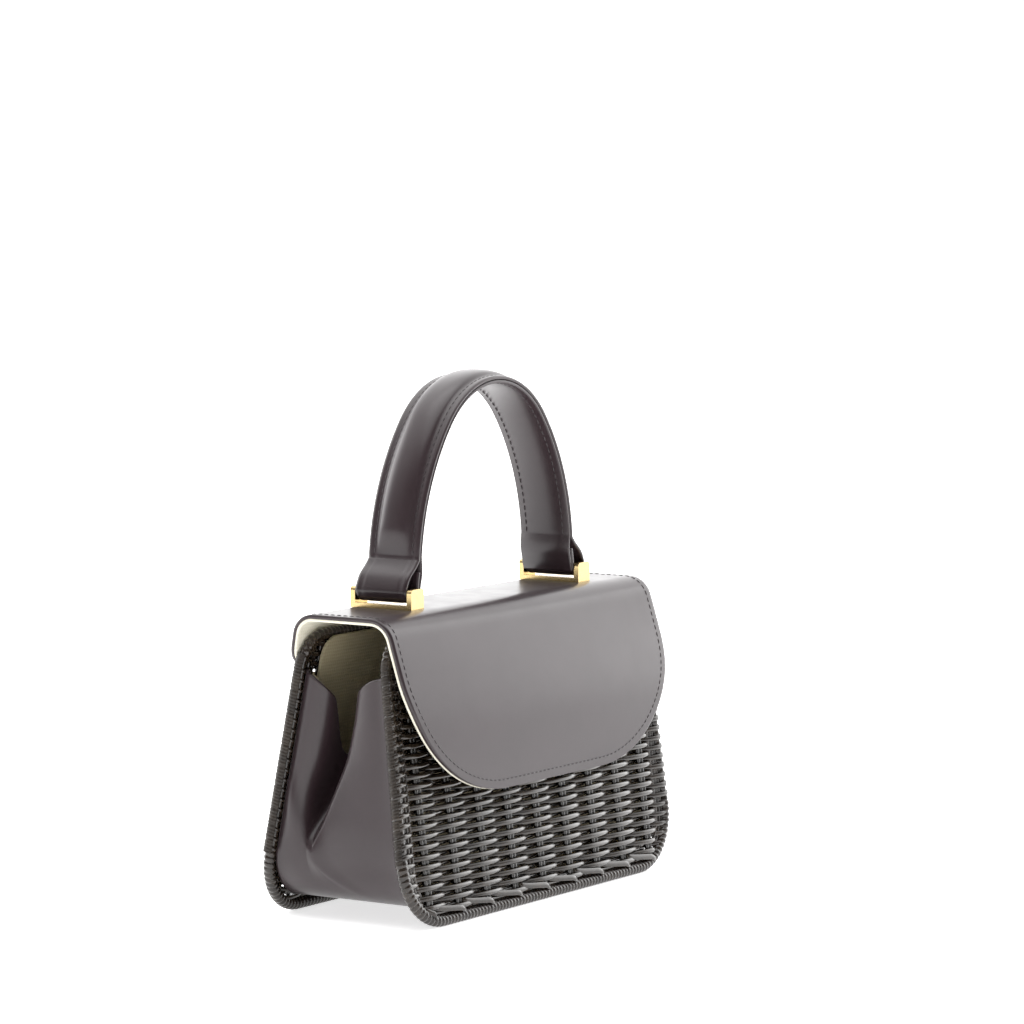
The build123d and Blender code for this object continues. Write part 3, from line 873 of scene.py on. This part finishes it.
def flap_line():
    """Places along the flap from its back edge to its tip, closer together near both ends."""
    line = bent_line(flap_corners, flap_bends, 14, 2.2 * mm)
    flat = [(place, out, place.x < -20 * mm) for place, out in line]
    tips = [entry for entry in flat if entry[2] and entry[0].y < 62 * mm]
    keep = [entry for entry in flat if entry not in tips]
    start, end = tips[0], tips[-1]
    for i in range(26):
        share = sin(pi / 2 * i / 25)
        keep.append((start[0].lerp(end[0], share), start[1], True))
    back = [entry for entry in keep if not entry[2] and entry[0].y < 109 * mm and entry[0].x > 0]
    rest = keep[len(back):]
    edge = []
    for i in range(12):
        share = 1 - cos(pi / 2 * i / 12)
        edge.append((back[0][0].lerp(rest[0][0], share), back[0][1], False))
    return edge + rest


flap_places = flap_line()
flap_lengths = [0.0]
for here, there in zip(flap_places, flap_places[1:]):
    flap_lengths.append(flap_lengths[-1] + (there[0] - here[0]).length)


def flap_point(i, share, depth, half=None):
    """A point of the flap at its line's i-th place, share from -1 to 1 across, depth under its face."""
    place, out, front = flap_places[i]
    width = flap_width(place, front) if half is None else half
    across = share * width
    s = flap_lengths[i] / flap_lengths[-1]
    span = across / flap_half
    soft = 2.2 * mm * max(0.0, 1 - span**2) * sin(pi * min(1.0, max(0.0, (s - 0.46) / 0.54)))
    crown = 0.35 * mm * max(0.0, 1 - span**4) * sin(pi * min(1.0, max(0.0, (s - 0.12) / 0.36)))
    shift = soft + crown - depth
    return Vector((across, place.x + out.x * shift, place.y + out.y * shift))


def flap_layer(name, depth, thickness, material, nodes, across=84):
    bm = bmesh.new()
    along = len(flap_places) - 1

    def position(i, j):
        share = sin(pi / 2 * (2 * j / across - 1)) * 0.5 + (2 * j / across - 1) * 0.5
        return flap_point(i, share, depth)

    laid_sheet(bm, along, across, position, closed=False)
    bmesh.ops.recalc_face_normals(bm, faces=bm.faces)
    top = max(bm.faces, key=lambda f: f.calc_center_median().z)
    if top.normal.z < 0:
        bmesh.ops.reverse_faces(bm, faces=bm.faces)
    made = sheet_object(name, bm, thickness, material, None, nodes)
    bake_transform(made)
    return made


cream = finish_of(
    "cream_cotton", cloth_colour((0.80, 0.77, 0.66), (0.66, 0.62, 0.50)), 0.9, cloth_relief
)
flap_cloth = flap_layer(
    "flap_cotton_lining", flap_leather, flap_lining, cream, ["flap_lining", "flap_back_lining"]
)
flap_skin = flap_layer(
    "flap_calf", 0.0, flap_leather - 0.02 * mm, calf, ["flap_leather", "flap_back_leather"]
)

# the thread: short slanted stitches, each a small rounded grain
stitch_long = 2.3 * mm
stitch_pitch = 3.0 * mm
stitch_radius = 0.36 * mm
flap_margin = 3.4 * mm
thread = finish_of(
    "dark_thread",
    lambda start: grain(place(start), 0.5 * mm).blend((0.012, 0.009, 0.010), (0.035, 0.025, 0.028)),
    0.55,
)


def stitch(bm, middle, along, out, long=stitch_long, radius=stitch_radius):
    """One stitch: a low-sided grain laid along the seam, half sunk in the leather."""
    made = bmesh.ops.create_uvsphere(bm, u_segments=6, v_segments=6, radius=1.0)["verts"]
    side = along.cross(out).normalized()
    for corner in made:
        x, y, z = corner.co
        corner.co = middle + along * (z * long / 2) + side * (x * radius) + out * (y * radius * 0.8)


def seam(bm, corners, outs, pitch=stitch_pitch, start=0.5, **sizes):
    """Stitches at an even pitch along a line of corners."""
    spare = pitch * start
    for (a, out_a), (b, out_b) in zip(zip(corners, outs), zip(corners[1:], outs[1:])):
        long = (b - a).length
        if long < 1e-9:
            continue
        while spare <= long:
            share = spare / long
            along = (b - a).normalized()
            out = out_a.lerp(out_b, share).normalized()
            stitch(bm, a.lerp(b, share), along, out, **sizes)
            spare += pitch
        spare -= long


# the seam's line lies a margin inside the flap's outline, right side first
outline = [(flap_lengths[i], flap_width(spot, front)) for i, (spot, _, front) in enumerate(flap_places)]
right_side = []
for n, (s, half) in enumerate(outline):
    before, after = outline[max(0, n - 1)], outline[min(len(outline) - 1, n + 1)]
    along = Vector((after[0] - before[0], after[1] - before[1])).normalized()
    right_side.append((s + along.y * flap_margin, half - along.x * flap_margin))
seam_start, seam_end = flap_margin * 0.98, flap_lengths[-1] - flap_margin * 0.98
right_side = [(s, half) for s, half in right_side if seam_start < s < seam_end]


def flap_spot(s, across, lift):
    """The place on the flap's face a length s from its back edge, with its outward direction."""
    s = min(max(s, 0.0), flap_lengths[-1] - 1e-7)
    i = max(n for n in range(len(flap_lengths)) if flap_lengths[n] <= s)
    i = min(i, len(flap_lengths) - 2)
    share = (s - flap_lengths[i]) / (flap_lengths[i + 1] - flap_lengths[i])
    low = flap_point(i, 1, -lift, across)
    high = flap_point(i + 1, 1, -lift, across)
    out = flap_places[i][1].lerp(flap_places[i + 1][1], share)
    return low.lerp(high, share), Vector((0, out.x, out.y)).normalized()


def flap_seam(name, pairs):
    bm = bmesh.new()
    spots = [flap_spot(s, across, -0.02 * mm) for s, across in pairs]
    seam(bm, [spot for spot, _ in spots], [out for _, out in spots])
    made = piece_from(bm, name, thread, None, (), recalc=False)
    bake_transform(made)


tip_row = flap_lengths[-1] - flap_margin
back_row = flap_margin
across_tip = [(tip_row, right_side[-1][1] * (1 - n / 20)) for n in range(41)]
across_back = [(back_row, right_side[0][1] * (n / 20 - 1)) for n in range(41)]
left_side = [(s, -half) for s, half in reversed(right_side)]
flap_seam("flap_seam", across_back + right_side + across_tip + left_side)

# ---- handle -------------------------------------------------------------------------------------
# A calf strap is padded over a felt core, folded over a bar at each foot and sewn to a second, flat
# strap inside it. The two layers part above each bar and leave a drop-shaped eye.
handle_y = -0.5 * mm
strap_half = 12 * mm
strap_thick = 1.6 * mm
inner_thick = 1.4 * mm
pad_half = 7.5 * mm
pad_rise = 2.3 * mm
layer_gap = 0.1 * mm
seam_across = 9.0 * mm
seam_sink = 0.16 * mm
flat_reach = 0.985
crown_centre = 165 * mm
crown_radius = 46 * mm
crown_spread = radians(50)
flank_radius = 95 * mm
flank_end = radians(85)
foot_x = 61.47 * mm
eye_z = 129.29 * mm
eye_radius = 4.95 * mm


def arch_place(share, depth):
    """A place on the arch from its left foot (-1) to its right (1), with its outward direction."""
    crown_long = crown_radius * crown_spread
    flank_long = flank_radius * (flank_end - crown_spread)
    leg_long = 0.8 * mm
    s = abs(share) * (crown_long + flank_long + leg_long)
    if s <= crown_long:
        angle = s / crown_radius
        x, z = (crown_radius - depth) * sin(angle), crown_centre + (crown_radius - depth) * cos(angle)
    else:
        angle = min(flank_end, crown_spread + (s - crown_long) / flank_radius)
        hub_x = (crown_radius - flank_radius) * sin(crown_spread)
        hub_z = crown_centre + (crown_radius - flank_radius) * cos(crown_spread)
        x = hub_x + (flank_radius - depth) * sin(angle)
        z = hub_z + (flank_radius - depth) * cos(angle)
        past = max(0.0, s - crown_long - flank_long)
        x, z = x + past * cos(flank_end), z - past * sin(flank_end)
    hand = 1 if share >= 0 else -1
    return Vector((hand * x, z)), Vector((hand * sin(angle), cos(angle)))


def smooth_line(points, steps):
    """A smooth open line through a few places."""
    points = [points[0] * 2 - points[1]] + list(points) + [points[-1] * 2 - points[-2]]
    line = []
    for p0, p1, p2, p3 in zip(points, points[1:], points[2:], points[3:]):
        for i in range(steps):
            t = i / steps
            straight = p1 * 2 + (p2 - p0) * t
            bend = (p0 * 2 - p1 * 5 + p2 * 4 - p3) * t * t
            twist = (p1 * 3 - p0 - p2 * 3 + p3) * t**3
            line.append((straight + bend + twist) / 2)
    line.append(points[-2])
    return line


def strap_middle():
    """The outer strap's middle line: eye, arch, eye, each place with its outward side and padding."""
    arch = [arch_place(-1 + 2 * n / 110, strap_thick / 2) for n in range(111)]
    right_foot = arch[-1][0]
    mid = eye_radius - strap_thick / 2
    eye = [right_foot, Vector((58.9 * mm, 138.2 * mm)), Vector((63.2 * mm, 134.4 * mm))]
    for degrees in (6, -24, -58, -92, -126, -158, -186):
        eye.append(Vector((foot_x + mid * cos(radians(degrees)), eye_z + mid * sin(radians(degrees)))))
    eye += [Vector((56.75 * mm, 133.4 * mm)), Vector((56.15 * mm, 136.2 * mm))]
    right = smooth_line(eye, 6)[1:]
    left = [Vector((-p.x, p.y)) for p in reversed(right)]
    line = left + [p for p, _ in arch] + right
    made = []
    for n, p in enumerate(line):
        before, after = line[max(0, n - 1)], line[min(len(line) - 1, n + 1)]
        along = (after - before).normalized()
        on_arch = len(left) <= n < len(left) + len(arch)
        share = abs(-1 + 2 * (n - len(left)) / 110) if on_arch else 1.0
        pad = min(1.0, max(0.0, (1 - share) / 0.13)) if on_arch else 0.0
        pad = pad * pad * (3 - 2 * pad)
        made.append((p, Vector((-along.y, along.x)), pad))
    return made


def strap_section(pad):
    """The strap's section as (across, outwards) places from its middle line, anticlockwise."""
    section = []
    half, thick = strap_half, strap_thick / 2
    edge = 0.5 * mm
    tops = [1, 0.93, 0.86, 0.78, 0.70, 0.655, 0.61, 0.55, 0.47, 0.36, 0.24, 0.12]
    tops = tops + [0] + [-t for t in reversed(tops)]
    for share in tops:
        across = share * half
        near = min(1.0, abs(across) / pad_half)
        rise = pad_rise * pad * sqrt(max(0.0, 1 - near**2.6)) if abs(across) < pad_half else 0.0
        groove = 0.22 * mm * max(0.0, 1 - abs(abs(across) - seam_across) / (0.9 * mm))
        drop = edge * 0.6 if abs(share) == 1 else 0.0
        section.append((across, thick + rise - groove - drop))
    for share in (-1, -0.93, -0.6, 0, 0.6, 0.93, 1):
        lift = edge * 0.6 if abs(share) == 1 else 0.0
        section.append((share * half, -thick + lift))
    return section


def swept_strap(bm, line, sections):
    count, around = len(line) - 1, len(sections[0])

    def position(i, j):
        p, out, _ = line[i]
        across, rise = sections[i][j % around]
        return Vector((p.x + out.x * rise, handle_y + across, p.y + out.y * rise))

    laid_sheet(bm, count, around, position)
    bmesh.ops.holes_fill(bm, edges=[edge for edge in bm.edges if edge.is_boundary])


strap_line = strap_middle()
bm = bmesh.new()
swept_strap(bm, strap_line, [strap_section(pad) for _, _, pad in strap_line])
outer_strap = piece_from(
    bm, "handle_padded_strap", calf, "flap", ["handle_outer_strap", "handle_core"]
)

flat_depth = strap_thick + layer_gap + inner_thick / 2
flat_places = [arch_place((-1 + 2 * n / 96) * flat_reach, flat_depth)[0] for n in range(97)]
foot_marks = ((54.3, 138.2), (54.4, 135.2), (55.1, 132.2), (55.8, 129.3), (56.6, 126.9))
foot = smooth_line([flat_places[-1]] + [Vector(spot) * mm for spot in foot_marks], 6)[1:]
flat_places = [Vector((-spot.x, spot.y)) for spot in reversed(foot)] + flat_places + foot
flat_line = []
for n, spot in enumerate(flat_places):
    along = (flat_places[min(len(flat_places) - 1, n + 1)] - flat_places[max(0, n - 1)]).normalized()
    flat_line.append((spot, Vector((-along.y, along.x)), 0.0))


def flat_section():
    half, thick = strap_half - 0.1 * mm, inner_thick / 2
    edge = 0.35 * mm
    outer = [(half, thick - edge), (half - edge, thick), (0, thick), (edge - half, thick)]
    outer.append((-half, thick - edge))
    return outer + [(-across, -rise) for across, rise in outer]


bm = bmesh.new()
swept_strap(bm, flat_line, [flat_section()] * len(flat_line))
piece_from(bm, "handle_flat_strap", calf, "flap", ["handle_inner_strap"])

bm = bmesh.new()
for side in (-1, 1):
    for depth, facing in ((0.0, 1), (strap_thick + layer_gap + inner_thick, -1)):
        sink = seam_sink if facing > 0 else 0
        corners, outs = [], []
        for n in range(121):
            p, out = arch_place((-1 + 2 * n / 120) * flat_reach, depth)
            out = Vector((out.x, 0, out.y))
            corners.append(Vector((p.x, handle_y + side * seam_across, p.y)) - out * sink)
            outs.append(out * facing)
        seam(bm, corners, outs, radius=0.30 * mm)
piece_from(bm, "handle_seams", thread, "flap", (), recalc=False)

# ---- brackets, bars and screws --------------------------------------------------------------------
# Each handle foot turns on a bar between the cheeks of a small bracket, screwed through the flap to a
# plate. Brackets and bars are brass under pale polished gold.
def gold_colour(start):
    return grain(place(start), 3 * mm).blend((0.50, 0.37, 0.17), (0.60, 0.46, 0.23))


def gold_rough(start):
    return grain(place(start, (1, 8, 1)), 0.9 * mm).between(0.3, 0.7, 0.16, 0.26)


gold = finish_of("pale_gold", gold_colour, gold_rough, Metallic=1.0)
nickel = finish_of(
    "nickel_steel",
    lambda start: grain(place(start), 2 * mm).blend((0.52, 0.51, 0.49), (0.66, 0.65, 0.62)),
    lambda start: grain(place(start), 0.6 * mm).between(0.3, 0.7, 0.25, 0.4),
    Metallic=1.0,
)
for node in ("bracket_left", "bracket_right", "bar_left", "bar_right"):
    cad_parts[node].data.materials.clear()
    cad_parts[node].data.materials.append(gold)
for node in ("backing_plate_left", "backing_plate_right", "bracket_screws", "snap_socket", "snap_stud"):
    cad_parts[node].data.materials.clear()
    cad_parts[node].data.materials.append(nickel)

# ---- floor, light and camera ----------------------------------------------------------------------
# A white sheet that glows softly under the bag, a room that is bright beyond it and dim on the near
# side, and three wide, soft suns: overhead, front right and behind.
floor_size = 400.0
bm = bmesh.new()
bmesh.ops.create_grid(bm, x_segments=1, y_segments=1, size=floor_size / 2)
white = finish_of(
    "white_paper",
    lambda start: grain(place(start), 0.3).blend((0.88, 0.88, 0.88), (0.90, 0.90, 0.90)),
    0.7,
    Emission_Color=(1, 1, 1, 1),
    Emission_Strength=0.7,
)
white.cycles.emission_sampling = "NONE"
floor = piece_from(bm, "paper_floor", white, None, recalc=False)

room = bpy.data.worlds.new("bright_room")
bpy.context.scene.world = room
room.use_nodes = True
backdrop = room.node_tree.nodes["Background"]
backdrop.inputs["Color"].default_value = (1, 1, 1, 1)
sky = Wire(room.node_tree)
way = sky.node("TexCoord", out=0)
beyond = way.node("VectorMath", {0: way, 1: (0.78, 0.50, 0.37)}, out=1, operation="DOT_PRODUCT")
lit_room = beyond.between(-0.35, 0.85, 0.26, 2.7)
seen = sky.node("LightPath", out=0)
room.node_tree.links.new((lit_room + seen * (1.1 - lit_room)).socket, backdrop.inputs["Strength"])
bpy.context.scene.view_settings.view_transform = "Standard"


def soft_sun(name, towards, spread, strength):
    """An even light from far away, as wide in the sky as spread degrees."""
    lamp = bpy.data.lights.new(name, "SUN")
    lamp.angle = radians(spread)
    lamp.energy = strength
    lit = bpy.data.objects.new(name, lamp)
    bpy.context.scene.collection.objects.link(lit)
    lit.rotation_euler = Vector(towards).to_track_quat("Z", "Y").to_euler()


soft_sun("overhead", (-0.1, 0.0, 1.0), 60, 1.6)
soft_sun("front_right", (0.93, -0.42, 0.26), 42, 0.7)
soft_sun("behind", (-0.15, 1.0, 0.35), 36, 1.0)

lens = bpy.data.cameras.new("camera")
lens.lens = 164.86
lens.sensor_width = 36
lens.clip_end = 50
view = bpy.data.objects.new("camera", lens)
bpy.context.scene.collection.objects.link(view)
view.location = (-1.57801, -1.04508, 0.33192)
view.rotation_euler = Vector((0.83482, 0.54261, -0.09298)).to_track_quat("-Z", "Y").to_euler()
bpy.context.scene.camera = view
